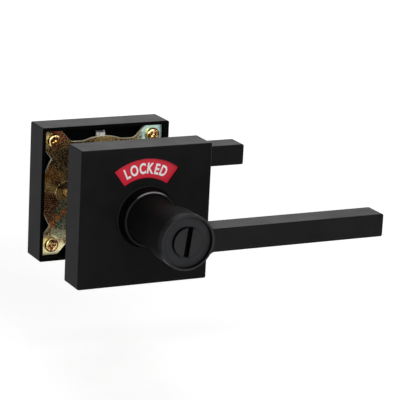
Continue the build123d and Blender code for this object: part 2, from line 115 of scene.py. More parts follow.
def ramp(tree, source, low, high, start=NOISE_LOW, stop=NOISE_HIGH):
    """Stretches a mask from one range to another, as a rule from the one that noise fills."""
    made = put(tree, "ShaderNodeMapRange", From_Min=start, From_Max=stop, To_Min=low, To_Max=high)
    tree.links.new(source, made.inputs["Value"])
    return made.outputs["Result"]


def mixed(tree, mask, first, second):
    """Two colours, or links, mixed by a mask."""
    made = put(tree, "ShaderNodeMix", {"data_type": "RGBA"})
    feed(tree, mask, made.inputs["Factor"])
    sides = [socket for socket in made.inputs if socket.type == "RGBA"]
    feed(tree, first, sides[0])
    feed(tree, second, sides[1])
    return next(socket for socket in made.outputs if socket.type == "RGBA")


def bumped(tree, height, strength, depth):
    """A normal from a height."""
    made = put(tree, "ShaderNodeBump", Strength=strength, Distance=depth)
    tree.links.new(height, made.inputs["Height"])
    return made.outputs["Normal"]


def math_node(tree, operation, first, second=None):
    """One sum on one or two values."""
    made = put(tree, "ShaderNodeMath", {"operation": operation})
    feed(tree, first, made.inputs[0])
    if second is not None:
        feed(tree, second, made.inputs[1])
    return made.outputs["Value"]


def grain_effect():
    """Fine grain as a height, and slow clouds as a mask."""
    inputs = {"Grain Scale": 1000.0, "Cloud Scale": 100.0}
    tree, given, out = effect("grain", inputs, ("Height", "Clouds"))
    place = put(tree, "ShaderNodeTexCoord").outputs["Object"]
    fine = put(tree, "ShaderNodeTexNoise", Detail=2.0, Roughness=0.6)
    slow = put(tree, "ShaderNodeTexNoise", Detail=3.0, Roughness=0.55)
    for noise, scale, label in ((fine, "Grain Scale", "Height"), (slow, "Cloud Scale", "Clouds")):
        tree.links.new(place, noise.inputs["Vector"])
        tree.links.new(given.outputs[scale], noise.inputs["Scale"])
        tree.links.new(noise.outputs["Fac"], out.inputs[label])
    return tree


def stand_effect():
    """Where a point stands: how far out from its face of the door, how far from the
    spindle, how much of that is up, and the half side of the square it lies on."""
    outputs = ("Height", "Radius", "Up", "Square")
    tree, given, out = effect("stand", {"Door Middle": 0.0}, outputs)
    place = put(tree, "ShaderNodeTexCoord").outputs["Object"]
    split = put(tree, "ShaderNodeSeparateXYZ")
    tree.links.new(place, split.inputs["Vector"])
    middle = given.outputs["Door Middle"]
    away = math_node(tree, "ABSOLUTE", math_node(tree, "SUBTRACT", split.outputs["Y"], middle))
    tree.links.new(math_node(tree, "SUBTRACT", away, middle), out.inputs["Height"])
    flat = put(tree, "ShaderNodeVectorMath", {"operation": "MULTIPLY"})
    flat.inputs[1].default_value = (1.0, 0.0, 1.0)
    tree.links.new(place, flat.inputs[0])
    length = put(tree, "ShaderNodeVectorMath", {"operation": "LENGTH"})
    tree.links.new(flat.outputs["Vector"], length.inputs[0])
    tree.links.new(length.outputs["Value"], out.inputs["Radius"])
    up = math_node(tree, "DIVIDE", split.outputs["Z"], length.outputs["Value"])
    tree.links.new(up, out.inputs["Up"])
    across, rise = [math_node(tree, "ABSOLUTE", split.outputs[axis]) for axis in "XZ"]
    tree.links.new(math_node(tree, "MAXIMUM", across, rise), out.inputs["Square"])
    return tree


grain = grain_effect()
stand = stand_effect()
door_middle = (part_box("outside_rose")[1][1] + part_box("inside_rose")[0][1]) / 2


def band(tree, limits, fade=EDGE_FADE):
    """A mask for what lies within the limits, by output of the stand group. Heights fade out."""
    made = put(tree, "ShaderNodeGroup", {"node_tree": stand})
    made.inputs["Door Middle"].default_value = door_middle
    mask = 1.0
    for label, (low, high) in limits.items():
        soft = {"Height": fade, "Up": UP_FADE}.get(label, EDGE_FADE)
        over = ramp(tree, made.outputs[label], 0.0, 1.0, low - soft, low + soft)
        under = ramp(tree, made.outputs[label], 1.0, 0.0, high - soft, high + soft)
        mask = math_node(tree, "MULTIPLY", mask, math_node(tree, "MULTIPLY", over, under))
    return mask


def finish_of(name, **values):
    """A new material, its node tree and its shader, with plain values set on the shader."""
    material = bpy.data.materials.new(name)
    material.use_nodes = True
    tree = material.node_tree
    shader = tree.nodes["Principled BSDF"]
    for key, value in values.items():
        shader.inputs[key.replace("_", " ")].default_value = value
    return material, tree, shader


def satin(name, tones, rough, grain_sizes, cloud_scale, bands=(), **values):
    """A finish whose tone and gloss vary in clouds and whose grain roughens it. Each band has
    another tone, the least roughness in it, its limits and, where it fades out, how softly."""
    material, tree, shader = finish_of(name, **values)
    grain_scale, strength, depth = grain_sizes
    made = put(tree, "ShaderNodeGroup", {"node_tree": grain})
    made.inputs["Grain Scale"].default_value = grain_scale
    made.inputs["Cloud Scale"].default_value = cloud_scale
    clouds = made.outputs["Clouds"]
    colour = mixed(tree, ramp(tree, clouds, 0.0, 1.0), *tones)
    roughness = ramp(tree, clouds, *rough)
    for tone, least_rough, *limits in bands:
        mask = band(tree, *limits)
        colour = mixed(tree, mask, colour, tone)
        roughness = math_node(tree, "MAXIMUM", roughness, math_node(tree, "MULTIPLY", mask, least_rough))
    tree.links.new(colour, shader.inputs["Base Color"])
    tree.links.new(roughness, shader.inputs["Roughness"])
    normal = bumped(tree, made.outputs["Height"], strength, depth)
    tree.links.new(normal, shader.inputs["Normal"])
    return material


def dress(material, *names):
    """The CAD nodes of these names take the material."""
    for name in names:
        slots = nodes[name].data.materials
        slots.clear()
        slots.append(material)


powder_coat = satin(
    "powder_coat", COAT_TONES, COAT_ROUGH, COAT_GRAIN, COAT_CLOUDS, IOR=COAT_IOR,
    bands=(
        # Painted shade: the inside and the rim at the door are deep black.
        (COAT_PAINTED_SHADE, COAT_DULL, {"Square": (-FAR, INSIDE_HALF), "Height": (-FAR, INSIDE_TOP)}),
        (COAT_PAINTED_SHADE, COAT_DULL, {"Height": (-FAR, RIM_TOP)}),
    ),
)
dress(powder_coat, "outside_rose", "inside_rose")


# Collars: black nylon bushes, moulded with a gloss and pressed into the roses.
# Their front land is painted pale as a highlight, with a brighter painted glint
# at the top of its outer edge, and a thin painted highlight runs round their foot.
NYLON_TONES = ((0.0012, 0.0012, 0.0013, 1), (0.0022, 0.0022, 0.0023, 1))
NYLON_IOR = 1.08
NYLON_ROUGH = (0.26, 0.34)
NYLON_GRAIN = (900.0, 0.05, 0.00003)
NYLON_CLOUDS = 160.0
# Painted highlights: the front land, the glint at the top of its edge, the line round the foot.
NYLON_LAND_HIGHLIGHT = (0.020, 0.020, 0.020, 1)
NYLON_TOP_GLINT = (0.300, 0.300, 0.300, 1)
NYLON_FOOT_HIGHLIGHT = (0.022, 0.022, 0.022, 1)
LAND_DEPTH = 0.0002
GLINT_DEPTH = 0.00035
GLINT_RADIUS = 0.0129
GLINT_SHARE = 0.88
FOOT_HIGHLIGHT_RADIUS = 0.0147

collar_top = -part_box("outside_collar")[0][1]
moulded_nylon = satin(
    "moulded_nylon", NYLON_TONES, NYLON_ROUGH, NYLON_GRAIN, NYLON_CLOUDS, IOR=NYLON_IOR,
    bands=(
        # Painted highlights on the land, at the top of its edge and round the foot.
        (NYLON_LAND_HIGHLIGHT, OWN_GLOSS, {"Height": (collar_top - LAND_DEPTH, FAR)}),
        (NYLON_TOP_GLINT, OWN_GLOSS, {
            "Height": (collar_top - GLINT_DEPTH, FAR),
            "Radius": (GLINT_RADIUS, FAR),
            "Up": (GLINT_SHARE, FAR),
        }),
        (NYLON_FOOT_HIGHLIGHT, OWN_GLOSS, {"Radius": (FOOT_HIGHLIGHT_RADIUS, FAR)}),
    ),
)
dress(moulded_nylon, "outside_collar", "inside_collar")


# Mounting plates: stamped steel, zinc plated and dipped in a yellow passivate that
# dries in clouds of gold, tan, rust and pale green. Their cut edges stay bright.
PLATE_TAN = (0.240, 0.145, 0.055, 1)
PLATE_BROWN = (0.095, 0.058, 0.028, 1)
PLATE_PIT = (0.008, 0.006, 0.004, 1)
PLATE_SPARK = (0.92, 0.70, 0.36, 1)
PLATE_EDGE = (1.0, 0.94, 0.68, 1)
PLATE_BREAK = 0.00032
PLATE_CLOUDS = 130.0
PLATE_SPARKS = 1700.0
PLATE_ROUGH = (0.30, 0.48)
PLATE_RELIEF = (0.35, 0.00010)
PIT_STRENGTH = 0.70
PIT_RANGE = (0.34, 0.50)
SPARK_STRENGTH = 0.62
SPARK_RANGE = (0.52, 0.72)
OUTLINE_HALF = 0.0246
MERGE_GAP = 1e-6
FLAT_ANGLE = math.radians(1)
SHARP_ANGLE = math.radians(60)
CUT_FACE = 0.9
CUT = "cut"
STAIN_OLIVE = (0.045, 0.036, 0.022, 1)
STAIN_AMBER = (0.270, 0.115, 0.030, 1)
STAIN_MAROON = (0.115, 0.034, 0.022, 1)
STAIN_GOLD = (0.460, 0.340, 0.130, 1)
# A painted shadow: the dark spot by the left bolt.
PAINTED_SHADOW_SPOT = (0.006, 0.005, 0.004, 1)
STAIN_TEAL = (0.055, 0.120, 0.100, 1)
STAIN_ORANGE = (0.560, 0.190, 0.035, 1)
STAIN_SAGE = (0.360, 0.400, 0.260, 1)
STAIN_CREAM = (0.980, 0.900, 0.520, 1)
STAIN_MINT = (0.640, 0.930, 0.860, 1)
STAIN_RUST = (0.260, 0.050, 0.028, 1)
STAIN_NOISE = 260.0
STAIN_WANDER = 0.45
STAIN_FADE = (0.7, 1.15)
# Each row: tone, strength, radius, and the places across and up.
PLATE_STAINS = (
    (STAIN_OLIVE, 0.70, 0.0065, ((-0.0236, 0.0155),)),
    (STAIN_AMBER, 0.75, 0.0042, ((-0.0262, 0.0082), (-0.0290, 0.0080))),
    (STAIN_MAROON, 0.90, 0.0062, ((-0.0272, -0.0060), (-0.0255, -0.0120))),
    (STAIN_GOLD, 0.80, 0.0024, (
        (-0.0290, 0.0047), (-0.0257, 0.0022), (-0.0225, -0.0003), (-0.0200, -0.0028),
    )),
    # Painted shadow by the left bolt, above the gold band.
    (PAINTED_SHADOW_SPOT, 0.95, 0.0018, ((-0.0232, 0.0037), (-0.0218, 0.0033), (-0.0196, 0.0030))),
    (STAIN_ORANGE, 0.80, 0.0014, ((-0.0198, -0.0004), (-0.0185, 0.0000))),
    (STAIN_TEAL, 0.85, 0.0024, ((-0.0208, -0.0060), (-0.0222, -0.0093))),
    (STAIN_ORANGE, 0.75, 0.0018, ((-0.0258, -0.0162), (-0.0226, -0.0131), (-0.0195, -0.0105))),
    (STAIN_TEAL, 0.90, 0.0034, ((-0.0207, -0.0168), (-0.0185, -0.0145))),
    (STAIN_SAGE, 0.85, 0.0030, ((-0.0235, -0.0208), (-0.0200, -0.0215))),
    (STAIN_CREAM, 0.95, 0.0068, ((-0.0240, -0.0290), (-0.0290, -0.0285))),
    (STAIN_CREAM, 0.60, 0.0026, ((-0.0305, 0.0290), (-0.0305, 0.0240), (-0.0305, -0.0230))),
    (STAIN_RUST, 0.85, 0.0030, ((-0.0235, 0.0302), (-0.0205, 0.0285))),
    (STAIN_MAROON, 0.70, 0.0022, ((-0.0296, -0.0205),)),
    (STAIN_MINT, 0.95, 0.0095, ((0.0275, 0.0285),)),
    (STAIN_GOLD, 0.70, 0.0060, ((0.0010, 0.0260),)),
)
PLATE_BLOOM = (
    (STAIN_CREAM, 0.75, 0.0060, ((-0.0240, -0.0290), (-0.0290, -0.0285))),
    (STAIN_MINT, 0.55, 0.0085, ((0.0275, 0.0285),)),
)


def stain_effect():
    """A soft patch about a line through the sheet, with a wandering border."""
    inputs = {"Place": (0.0, 0.0, 0.0), "Radius": 0.005}
    tree, given, out = effect("stain", inputs, ("Mask",))
    place = put(tree, "ShaderNodeTexCoord").outputs["Object"]
    away = put(tree, "ShaderNodeVectorMath", {"operation": "SUBTRACT"})
    tree.links.new(place, away.inputs[0])
    tree.links.new(given.outputs["Place"], away.inputs[1])
    flat = put(tree, "ShaderNodeVectorMath", {"operation": "MULTIPLY"})
    flat.inputs[1].default_value = (1.0, 0.0, 1.0)
    tree.links.new(away.outputs["Vector"], flat.inputs[0])
    length = put(tree, "ShaderNodeVectorMath", {"operation": "LENGTH"})
    tree.links.new(flat.outputs["Vector"], length.inputs[0])
    noise = put(tree, "ShaderNodeTexNoise", Scale=STAIN_NOISE, Detail=4.0, Roughness=0.6)
    tree.links.new(place, noise.inputs["Vector"])
    share = math_node(tree, "DIVIDE", length.outputs["Value"], given.outputs["Radius"])
    uneven = ramp(tree, noise.outputs["Fac"], -STAIN_WANDER, STAIN_WANDER)
    border = math_node(tree, "ADD", share, uneven)
    tree.links.new(ramp(tree, border, 1.0, 0.0, *STAIN_FADE), out.inputs["Mask"])
    return tree


def bloom_effect():
    """Clouds of the dried coat, and the crystal sparks of the zinc under it."""
    inputs = {"Cloud Scale": 120.0, "Spark Scale": 1500.0}
    tree, given, out = effect("bloom", inputs, ("Clouds", "Sparks"))
    place = put(tree, "ShaderNodeTexCoord").outputs["Object"]
    clouds = put(tree, "ShaderNodeTexNoise", Detail=4.0, Roughness=0.6, Distortion=0.8)
    sparks = put(tree, "ShaderNodeTexNoise", Detail=1.0, Roughness=0.7)
    for noise, scale, label in ((clouds, "Cloud Scale", "Clouds"), (sparks, "Spark Scale", "Sparks")):
        tree.links.new(place, noise.inputs["Vector"])
        tree.links.new(given.outputs[scale], noise.inputs["Scale"])
        tree.links.new(noise.outputs["Fac"], out.inputs[label])
    return tree


stain = stain_effect()
bloom = bloom_effect()


def stained(tree, colour, rows):
    """Lays stains over a colour, one after another."""
    for tone, strength, radius, places in rows:
        for x, z in places:
            spot = put(tree, "ShaderNodeGroup", {"node_tree": stain})
            spot.inputs["Place"].default_value = (x, 0.0, z)
            spot.inputs["Radius"].default_value = radius
            share = math_node(tree, "MULTIPLY", spot.outputs["Mask"], strength)
            colour = mixed(tree, share, colour, tone)
    return colour


def passivated_sheet():
    """Stamped sheet with the coat's stains, its sparks and its bright cut edges."""
    material, tree, shader = finish_of("passivated_sheet")
    made = put(tree, "ShaderNodeGroup", {"node_tree": bloom})
    made.inputs["Cloud Scale"].default_value = PLATE_CLOUDS
    made.inputs["Spark Scale"].default_value = PLATE_SPARKS
    clouds, sparks = made.outputs["Clouds"], made.outputs["Sparks"]
    colour = mixed(tree, ramp(tree, clouds, 0.0, 1.0), PLATE_BROWN, PLATE_TAN)
    colour = stained(tree, colour, PLATE_STAINS)
    colour = mixed(tree, ramp(tree, sparks, PIT_STRENGTH, 0.0, *PIT_RANGE), colour, PLATE_PIT)
    colour = mixed(tree, ramp(tree, sparks, 0.0, SPARK_STRENGTH, *SPARK_RANGE), colour, PLATE_SPARK)
    colour = stained(tree, colour, PLATE_BLOOM)
    cut_edge = put(tree, "ShaderNodeAttribute", {"attribute_name": CUT}).outputs["Fac"]
    colour = mixed(tree, cut_edge, colour, PLATE_EDGE)
    tree.links.new(colour, shader.inputs["Base Color"])
    tree.links.new(math_node(tree, "SUBTRACT", 1.0, cut_edge), shader.inputs["Metallic"])
    tree.links.new(ramp(tree, clouds, *PLATE_ROUGH), shader.inputs["Roughness"])
    tree.links.new(bumped(tree, sparks, *PLATE_RELIEF), shader.inputs["Normal"])
    return material


def new_object(name, data):
    """A new object in the scene, at the origin."""
    made = bpy.data.objects.new(name, data)
    bpy.context.scene.collection.objects.link(made)
    return made


def on_outline(place):
    """Whether a place on the plate is out at its outline, and not at one of its middle holes."""
    return max(abs(place.x), abs(place.z)) > OUTLINE_HALF


def stamped_plate(side, finish):
    """The plate with the edges of its outline broken, and its cut edges marked for the finish."""
    node = nodes[side + "_mounting_plate"]
    work = bmesh.new()
    work.from_mesh(node.data)
    bmesh.ops.remove_doubles(work, verts=work.verts, dist=MERGE_GAP)
    bmesh.ops.dissolve_limit(work, angle_limit=FLAT_ANGLE, verts=work.verts, edges=work.edges)
    sharp = [edge for edge in work.edges if edge.calc_face_angle(0.0) > SHARP_ANGLE]
    level = [edge for edge in sharp if abs(edge.verts[0].co.y - edge.verts[1].co.y) < MERGE_GAP]
    rims = [edge for edge in level if on_outline(edge.verts[0].co) and on_outline(edge.verts[1].co)]
    bmesh.ops.bevel(work, geom=rims, offset=PLATE_BREAK, segments=1, affect="EDGES", clamp_overlap=True)
    mark = work.faces.layers.float.new(CUT)
    work.normal_update()
    for face in work.faces:
        edge_face = abs(face.normal.y) < CUT_FACE and on_outline(face.calc_center_median())
        face[mark] = 1.0 if edge_face else 0.0
    mesh = bpy.data.meshes.new(side + "_stamped_plate")
    work.to_mesh(mesh)
    work.free()
    mesh.materials.append(finish)
    plate = new_object(side + "_stamped_plate", mesh)
    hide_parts(side + "_mounting_plate")
    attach(plate, "door_fixed_set")


passivate = passivated_sheet()
for side in ("outside", "inside"):
    stamped_plate(side, passivate)


# Plate screws: eight cross-recessed pan head screws, zinc plated and passivated
# yellow, that hold each plate in its rose. Each was driven home at its own angle.
# The heads are maroon on their side towards right and down, away from the lamps:
# partly the passivate's own colour, partly painted shade.
SCREW_GOLD = ((0.42, 0.25, 0.065, 1), (1.0, 0.84, 0.40, 1))
# Maroon: partly real passivate, partly painted shade on the heads' side away from the lamps.
SCREW_RUST_AND_SHADE = (0.20, 0.020, 0.022, 1)
SCREW_RUST_AND_SHADE_SHARE = 0.92
GOLD_CLOUDS = 620.0
GOLD_SPARKS = 1600.0
GOLD_RANGE = (0.40, 0.60)
GOLD_ROUGH = (0.14, 0.30)
GOLD_RELIEF = (0.15, 0.00005)
RUST_SHADE_WANDER = 0.35
RUST_SHADE_RANGE = (-0.08, 0.10)
RUST_SHADE_ATTRIBUTE = "rust_and_shade"
# The heads' side that is painted maroon as shade: towards right and down.
SHADED_SIDE = (0.85, 0.0, -0.53)
SCREW_HEAD_RADIUS = 0.0036
SCREW_HEAD_HEIGHT = 0.0021
SCREW_RADIUS = 0.0015
SCREW_LENGTH = 0.0070
SCREW_THREAD = (0.0010, 0.00032)
HEAD_DOME = 0.0013
HEAD_CROWN = 0.0001
DOME_STEPS = 8
HEAD_SIDES = 48
THREAD_SIDES = 20
SLICES_PER_TURN = 6
GROOVE_SLOPE = 2.6
GROOVE_LAND = 0.3
CROSS_REACH = 0.0023
CROSS_WIDTH = 0.00052
CROSS_DEPTH = 0.00135
CROSS_ABOVE = 0.0004
CROSS_TAPER = 0.45
SMOOTH_ANGLE = math.radians(32)


def passivated_gold(name, tones, rust):
    """Gold passivate on small turned pieces, more or less maroon on the side the attribute marks, partly
    real passivate and partly painted shade.
    """
    material, tree, shader = finish_of(name, Metallic=1.0)
    made = put(tree, "ShaderNodeGroup", {"node_tree": bloom})
    made.inputs["Cloud Scale"].default_value = GOLD_CLOUDS
    made.inputs["Spark Scale"].default_value = GOLD_SPARKS
    clouds, sparks = made.outputs["Clouds"], made.outputs["Sparks"]
    colour = mixed(tree, ramp(tree, clouds, 0.0, 1.0, *GOLD_RANGE), *tones)
    # Maroon on the side the attribute marks: partly real passivate, partly painted shade.
    side = put(tree, "ShaderNodeAttribute", {"attribute_name": RUST_SHADE_ATTRIBUTE}).outputs["Fac"]
    uneven = math_node(tree, "ADD", side, ramp(tree, clouds, RUST_SHADE_WANDER, -RUST_SHADE_WANDER))
    colour = mixed(tree, ramp(tree, uneven, 0.0, rust, *RUST_SHADE_RANGE), colour, SCREW_RUST_AND_SHADE)
    tree.links.new(colour, shader.inputs["Base Color"])
    tree.links.new(ramp(tree, sparks, *GOLD_ROUGH), shader.inputs["Roughness"])
    tree.links.new(bumped(tree, sparks, *GOLD_RELIEF), shader.inputs["Normal"])
    return material


gold_passivate = passivated_gold("gold_passivate", SCREW_GOLD, SCREW_RUST_AND_SHADE_SHARE)


def mesh_of(work, name):
    """The finished mesh of some bmesh work, its faces outwards."""
    bmesh.ops.recalc_face_normals(work, faces=work.faces)
    mesh = bpy.data.meshes.new(name)
    work.to_mesh(mesh)
    work.free()
    return mesh


def ring_solid(rings):
    """A closed solid about the Y axis from rings of (height, radii), with a side for each radius."""
    work = bmesh.new()
    rows = []
    for height, radii in rings:
        turns = [math.tau * step / len(radii) for step in range(len(radii))]
        rows.append([
            work.verts.new((radius * math.sin(turn), height, radius * math.cos(turn)))
            for radius, turn in zip(radii, turns)
        ])
    for low, high in zip(rows, rows[1:]):
        for step in range(len(low)):
            work.faces.new((low[step - 1], low[step], high[step], high[step - 1]))
    work.faces.new(rows[0])
    work.faces.new(rows[-1])
    return mesh_of(work, "turned")


def thread_rings(start, stop, radius, thread):
    """Rings of a threaded shank whose crest winds round it, plain at both ends."""
    pitch, depth = thread
    count = round(abs(stop - start) / pitch * SLICES_PER_TURN)
    rings = []
    for number in range(count + 1):
        height = start + (stop - start) * number / count
        ends = min(1.0, min(number, count - number) / SLICES_PER_TURN)
        radii = []
        for step in range(THREAD_SIDES):
            phase = (height / pitch + step / THREAD_SIDES) % 1.0
            groove = min(1.0, max(0.0, abs(phase - 0.5) * GROOVE_SLOPE - GROOVE_LAND))
            radii.append(radius - depth * groove * ends)
        rings.append((height, radii))
    return rings


def cross_cutter(top):
    """The driver's cross: two crossed wedges that narrow downwards."""
    work = bmesh.new()
    for turned in (False, True):
        rows = []
        for height, share in ((top + CROSS_ABOVE, 1.0), (top - CROSS_DEPTH, CROSS_TAPER)):
            long, short = CROSS_REACH * share, CROSS_WIDTH * (0.5 + share / 2)
            corners = ((-long, -short), (long, -short), (long, short), (-long, short))
            flat = [(b, a) if turned else (a, b) for a, b in corners]
            rows.append([work.verts.new((x, height, z)) for x, z in flat])
        low, high = rows
        work.faces.new(low)
        work.faces.new(high)
        for step in range(4):
            work.faces.new((low[step - 1], low[step], high[step], high[step - 1]))
    return mesh_of(work, "cross")


def plain_mesh(holder, name):
    """What an object shows with its modifiers, as a mesh of its own."""
    bpy.context.view_layer.update()
    seen = holder.evaluated_get(bpy.context.evaluated_depsgraph_get())
    mesh = bpy.data.meshes.new_from_object(seen)
    mesh.name = name
    return mesh


def cut(body_mesh, cutter_mesh):
    """A mesh with another cut out of it."""
    holder, tool = new_object("cut_body", body_mesh), new_object("cut_tool", cutter_mesh)
    change = holder.modifiers.new("cut", "BOOLEAN")
    change.operation = "DIFFERENCE"
    change.solver = "EXACT"
    change.use_self = True
    change.object = tool
    mesh = plain_mesh(holder, "cut")
    bpy.data.objects.remove(holder)
    bpy.data.objects.remove(tool)
    return mesh


def joined(name, meshes):
    """Several meshes as one."""
    work = bmesh.new()
    for mesh in meshes:
        work.from_mesh(mesh)
    made = bpy.data.meshes.new(name)
    work.to_mesh(made)
    work.free()
    return made


def pan_screw(name, head_radius, head_height, shank_radius, shank_length, thread):
    """A screw along Y, its seat at 0, its head towards +Y and its thread towards -Y."""
    shoulder = head_height - HEAD_CROWN - HEAD_DOME
    outline = [(0.0, head_radius - HEAD_CROWN), (HEAD_CROWN, head_radius)]
    for step in range(DOME_STEPS + 1):
        turn = math.pi / 2 * step / DOME_STEPS
        height = shoulder + HEAD_DOME * math.sin(turn)
        outline.append((height, head_radius - HEAD_DOME * (1 - math.cos(turn))))
    outline.append((head_height, (head_radius - HEAD_DOME) / 2))
    head = ring_solid([(height, [radius] * HEAD_SIDES) for height, radius in outline])
    head = cut(head, cross_cutter(head_height))
    shank = thread_rings(HEAD_CROWN, HEAD_CROWN - shank_length + thread[0] / 2, shank_radius, thread)
    shank.append((-shank_length, [shank_radius - thread[0] / 2] * THREAD_SIDES))
    return joined(name, [head, ring_solid(shank)])


def spread_tree(name, rows):
    """Geometry Nodes: puts a piece at the corners of a field, each with a turn of its own."""
    tree = bpy.data.node_groups.new(name, "GeometryNodeTree")
    kinds = {"Piece": "Geometry", "Spacing": "Float", "Height": "Float", "Half Turn": "Float", "Seed": "Int"}
    for label, kind in {**kinds, "Finish": "Material"}.items():
        tree.interface.new_socket(label, in_out="INPUT", socket_type="NodeSocket" + kind)
    tree.interface.new_socket("Pieces", in_out="OUTPUT", socket_type="NodeSocketGeometry")
    given, out = put(tree, "NodeGroupInput").outputs, put(tree, "NodeGroupOutput")
    link = tree.links.new
    minus = math_node(tree, "MULTIPLY", given["Spacing"], -0.5)
    start, end, row = [put(tree, "ShaderNodeCombineXYZ") for _ in range(3)]
    link(minus, start.inputs["X"])
    link(math_node(tree, "MULTIPLY", given["Spacing"], 0.5), end.inputs["X"])
    for corner in (start, end):
        link(given["Height"], corner.inputs["Y"])
        if rows > 1:
            link(minus, corner.inputs["Z"])
    link(given["Spacing"], row.inputs["Z"])
    line = put(tree, "GeometryNodeMeshLine", {"mode": "END_POINTS"}, Count=2)
    link(start.outputs["Vector"], line.inputs["Start Location"])
    link(end.outputs["Vector"], line.inputs["Offset"])
    both = put(tree, "GeometryNodeJoinGeometry")
    link(line.outputs["Mesh"], both.inputs["Geometry"])
    if rows > 1:
        lifted = put(tree, "GeometryNodeTransform")
        link(line.outputs["Mesh"], lifted.inputs["Geometry"])
        link(row.outputs["Vector"], lifted.inputs["Translation"])
        link(lifted.outputs["Geometry"], both.inputs["Geometry"])
    chance = put(tree, "FunctionNodeRandomValue", {"data_type": "FLOAT"})
    range_ends = {socket.name: socket for socket in chance.inputs if socket.type == "VALUE"}
    range_ends["Min"].default_value = 0.0
    range_ends["Max"].default_value = math.pi / 2
    link(given["Seed"], chance.inputs["Seed"])
    turn = put(tree, "ShaderNodeCombineXYZ")
    link(next(socket for socket in chance.outputs if socket.type == "VALUE"), turn.inputs["Y"])
    link(given["Half Turn"], turn.inputs["Z"])
    place = put(tree, "GeometryNodeInstanceOnPoints")
    link(both.outputs["Geometry"], place.inputs["Points"])
    link(given["Piece"], place.inputs["Instance"])
    link(turn.outputs["Vector"], place.inputs["Rotation"])
    whole = put(tree, "GeometryNodeRealizeInstances")
    link(place.outputs["Instances"], whole.inputs["Geometry"])
    # Stores how far each point faces right and down, where the heads get maroon painted shade.
    facing = put(tree, "ShaderNodeVectorMath", {"operation": "DOT_PRODUCT"})
    facing.inputs[1].default_value = SHADED_SIDE
    link(put(tree, "GeometryNodeInputNormal").outputs["Normal"], facing.inputs[0])
    rust_and_shade = put(
        tree, "GeometryNodeStoreNamedAttribute", {"data_type": "FLOAT", "domain": "POINT"}, Name=RUST_SHADE_ATTRIBUTE
    )
    link(whole.outputs["Geometry"], rust_and_shade.inputs["Geometry"])
    link(facing.outputs["Value"], next(socket for socket in rust_and_shade.inputs if socket.type == "VALUE"))
    coat = put(tree, "GeometryNodeSetMaterial")
    link(rust_and_shade.outputs["Geometry"], coat.inputs["Geometry"])
    link(given["Finish"], coat.inputs["Material"])
    link(coat.outputs["Geometry"], out.inputs["Pieces"])
    return tree


def spread(name, piece_mesh, tree, slot, replaced, **values):
    """Runs a tree on one fastener, keeps the result as a plain mesh, and hands it over."""
    holder = new_object(name, piece_mesh)
    change = holder.modifiers.new("spread", "NODES")
    change.node_group = tree
    sockets = {item.name: item.identifier for item in tree.interface.items_tree if item.in_out == "INPUT"}
    for key, value in values.items():
        change[sockets[key.replace("_", " ")]] = value
    mesh = plain_mesh(holder, name)
    holder.modifiers.clear()
    holder.data = mesh
    mesh.shade_smooth()
    mesh.set_sharp_from_angle(angle=SMOOTH_ANGLE)
    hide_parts(replaced)
    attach(holder, "door_fixed_set")


plate_screw = pan_screw(
    "plate_screw", SCREW_HEAD_RADIUS, SCREW_HEAD_HEIGHT, SCREW_RADIUS, SCREW_LENGTH, SCREW_THREAD
)
four_corners = spread_tree("four_corners", 2)
for side, half_turn, seed in (("outside", 0.0, 3), ("inside", math.pi, 8)):
    low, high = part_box(side + "_plate_screws")
    seat = high[1] - SCREW_HEAD_HEIGHT if side == "outside" else low[1] + SCREW_HEAD_HEIGHT
    spread(
        side + "_pan_screws", plate_screw.copy(), four_corners, "yellow_zinc_screws",
        side + "_plate_screws", Spacing=high[0] - low[0] - 2 * SCREW_HEAD_RADIUS,
        Height=seat, Half_Turn=half_turn, Seed=seed, Finish=gold_passivate,
    )


# Posts and through bolts: two round nuts riveted to the outside plate, and the two
# machine screws from the inside that draw both halves onto the door. Their passivate
# is a darker brown than that of the screws, and the machine screws carry a little of
# the screws' maroon painted shade.
POST_GOLD = ((0.10, 0.055, 0.018, 1), (0.34, 0.20, 0.070, 1))
POST_RUST_AND_SHADE_SHARE = 0.15
BOLT_HEAD_RADIUS = 0.0035
BOLT_HEAD_HEIGHT = 0.0022
BOLT_RADIUS = 0.0020
BOLT_THREAD = (0.0007, 0.00030)

brown_passivate = passivated_gold("brown_passivate", POST_GOLD, POST_RUST_AND_SHADE_SHARE)
dress(brown_passivate, "mounting_posts")
low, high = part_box("through_bolts")
bolt_seat = high[1] - BOLT_HEAD_HEIGHT
machine_screw = pan_screw(
    "machine_screw", BOLT_HEAD_RADIUS, BOLT_HEAD_HEIGHT, BOLT_RADIUS, bolt_seat - low[1], BOLT_THREAD
)
spread(
    "machine_screws", machine_screw, spread_tree("pair", 1), "yellow_zinc_screws", "through_bolts",
    Spacing=high[0] - low[0] - 2 * BOLT_HEAD_RADIUS, Height=bolt_seat, Half_Turn=0.0, Seed=5,
    Finish=brown_passivate,
)


# Works behind the plates: springs of round wire, stops, keyed drivers and open
# rings, with the spindle, the lock shaft and its pin. All are steel with bright
# zinc on it, which has a fine frosty grain.
STEEL_TONES = ((0.70, 0.70, 0.68, 1), (0.95, 0.95, 0.92, 1))
STEEL_SHINE = 0.2
STEEL_ROUGH = (0.22, 0.36)
STEEL_GRAIN = (1900.0, 0.12, 0.00004)
STEEL_CLOUDS = 240.0

bright_steel = satin(
    "bright_steel", STEEL_TONES, STEEL_ROUGH, STEEL_GRAIN, STEEL_CLOUDS, Metallic=STEEL_SHINE
)
for side in ("outside_", "inside_"):
    for name in ("return_spring", "spring_stop", "spring_driver", "retaining_ring"):
        dress(bright_steel, side + name)
dress(bright_steel, "spindle", "lock_shaft", "dial_drive_pin")


